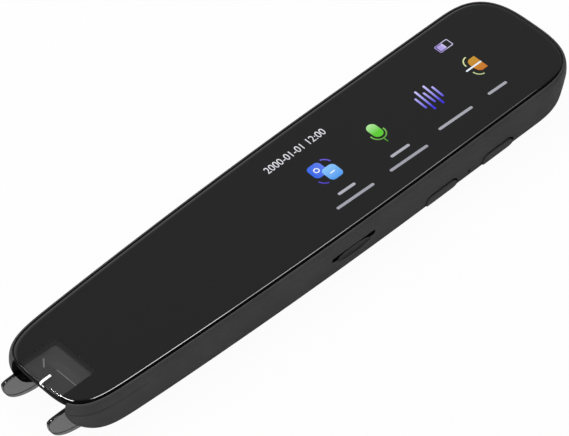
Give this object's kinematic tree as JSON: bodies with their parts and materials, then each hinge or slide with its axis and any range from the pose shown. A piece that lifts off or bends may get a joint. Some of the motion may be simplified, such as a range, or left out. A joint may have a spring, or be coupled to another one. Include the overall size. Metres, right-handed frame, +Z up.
{
  "type": "scanning pen",
  "caption": "Slim scanning pen with a full-length dark cover glass, a bar display, side buttons and a clear press-sensitive scan guide at its nose.",
  "frame": {"origin": "centre of the pen's bounding box on the plane of its flat underside, where the pen rests, with the scan guide's fins and the proud buttons counted in the box", "axes": "+X along the pen from the scan guide towards the charging port, +Y across it away from the side buttons, +Z up through the cover glass"},
  "size_m": [0.1594, 0.0346, 0.0132],
  "materials": {
    "shell_plastic": "fine satin, dark grey",
    "frame_plastic": "satin, dark grey",
    "dark_glass": "polished, printed black behind",
    "smoky_plastic": "clear, smoke tinted",
    "black_plastic": "matte black",
    "black_foam": "open foam",
    "sheet_steel": "plated sheet",
    "board_laminate": "solder mask, satin green",
    "lead_film": "amber film over copper",
    "cell_pouch": "satin foil pouch",
    "white_plastic": "satin white",
    "lens_glass": "polished, coated"
  },
  "bodies": {
    "housing": {"lower_shell": "shell_plastic", "upper_frame": "frame_plastic", "cover_glass": "dark_glass", "glass_tape": "black_foam", "display_film": "smoky_plastic", "display_panel": "dark_glass", "display_backlight": "white_plastic", "display_pan": "sheet_steel", "tip_switch": "black_plastic", "optics_housing": "black_plastic", "lens_barrel": "black_plastic", "scan_lens": "lens_glass", "image_sensor": "lens_glass", "sensor_board": "board_laminate", "led_board": "board_laminate", "led_left": "white_plastic", "led_right": "white_plastic", "battery_tape": "white_plastic", "battery": "cell_pouch", "main_board": "board_laminate", "processor_shield": "sheet_steel", "power_shield": "sheet_steel", "wireless_module": "sheet_steel", "memory_chip": "black_plastic", "card_socket": "sheet_steel", "port_shell": "sheet_steel", "port_tongue": "black_plastic", "speaker_foam": "black_foam", "speaker": "black_plastic", "front_switch": "sheet_steel", "rear_switch": "sheet_steel", "microphone": "sheet_steel", "camera_lead": "lead_film", "display_lead": "lead_film", "battery_lead": "lead_film", "aerial": "lead_film", "frame_screw_1": "sheet_steel", "frame_screw_2": "sheet_steel", "frame_screw_3": "sheet_steel", "frame_screw_4": "sheet_steel", "frame_screw_5": "sheet_steel", "frame_screw_6": "sheet_steel", "board_screw_1": "sheet_steel", "board_screw_2": "sheet_steel"},
    "scan_guide": {"scan_guide": "smoky_plastic", "guide_spring_left": "sheet_steel", "guide_spring_right": "sheet_steel"},
    "tip_plunger": {"tip_switch_plunger": "white_plastic"},
    "front_button": {"front_button": "shell_plastic"},
    "front_plunger": {"front_switch_plunger": "black_plastic"},
    "rear_button": {"rear_button": "shell_plastic"},
    "rear_plunger": {"rear_switch_plunger": "black_plastic"}
  },
  "joints": [
    {"name": "guide_press", "type": "slide", "parent": "housing", "child": "scan_guide", "axis": [1, 0, 0], "range_m": [0, 0.0008], "stiffness_N_per_m": 500, "springref_m": -0.0008},
    {"name": "tip_plunger_press", "type": "slide", "parent": "housing", "child": "tip_plunger", "axis": [1, 0, 0], "range_m": [0, 0.0004]},
    {"name": "front_button_press", "type": "slide", "parent": "housing", "child": "front_button", "axis": [0, 1, 0], "range_m": [0, 0.00035], "stiffness_N_per_m": 3000, "springref_m": -0.0002},
    {"name": "front_plunger_press", "type": "slide", "parent": "housing", "child": "front_plunger", "axis": [0, 1, 0], "range_m": [0, 0.0002]},
    {"name": "rear_button_press", "type": "slide", "parent": "housing", "child": "rear_button", "axis": [0, 1, 0], "range_m": [0, 0.00035], "stiffness_N_per_m": 3000, "springref_m": -0.0002},
    {"name": "rear_plunger_press", "type": "slide", "parent": "housing", "child": "rear_plunger", "axis": [0, 1, 0], "range_m": [0, 0.0002]}
  ],
  "couplings": [
    {"joint": "tip_plunger_press", "follows": "guide_press", "ratio": 0.5},
    {"joint": "front_plunger_press", "follows": "front_button_press", "ratio": 0.5714},
    {"joint": "rear_plunger_press", "follows": "rear_button_press", "ratio": 0.5714}
  ]
}
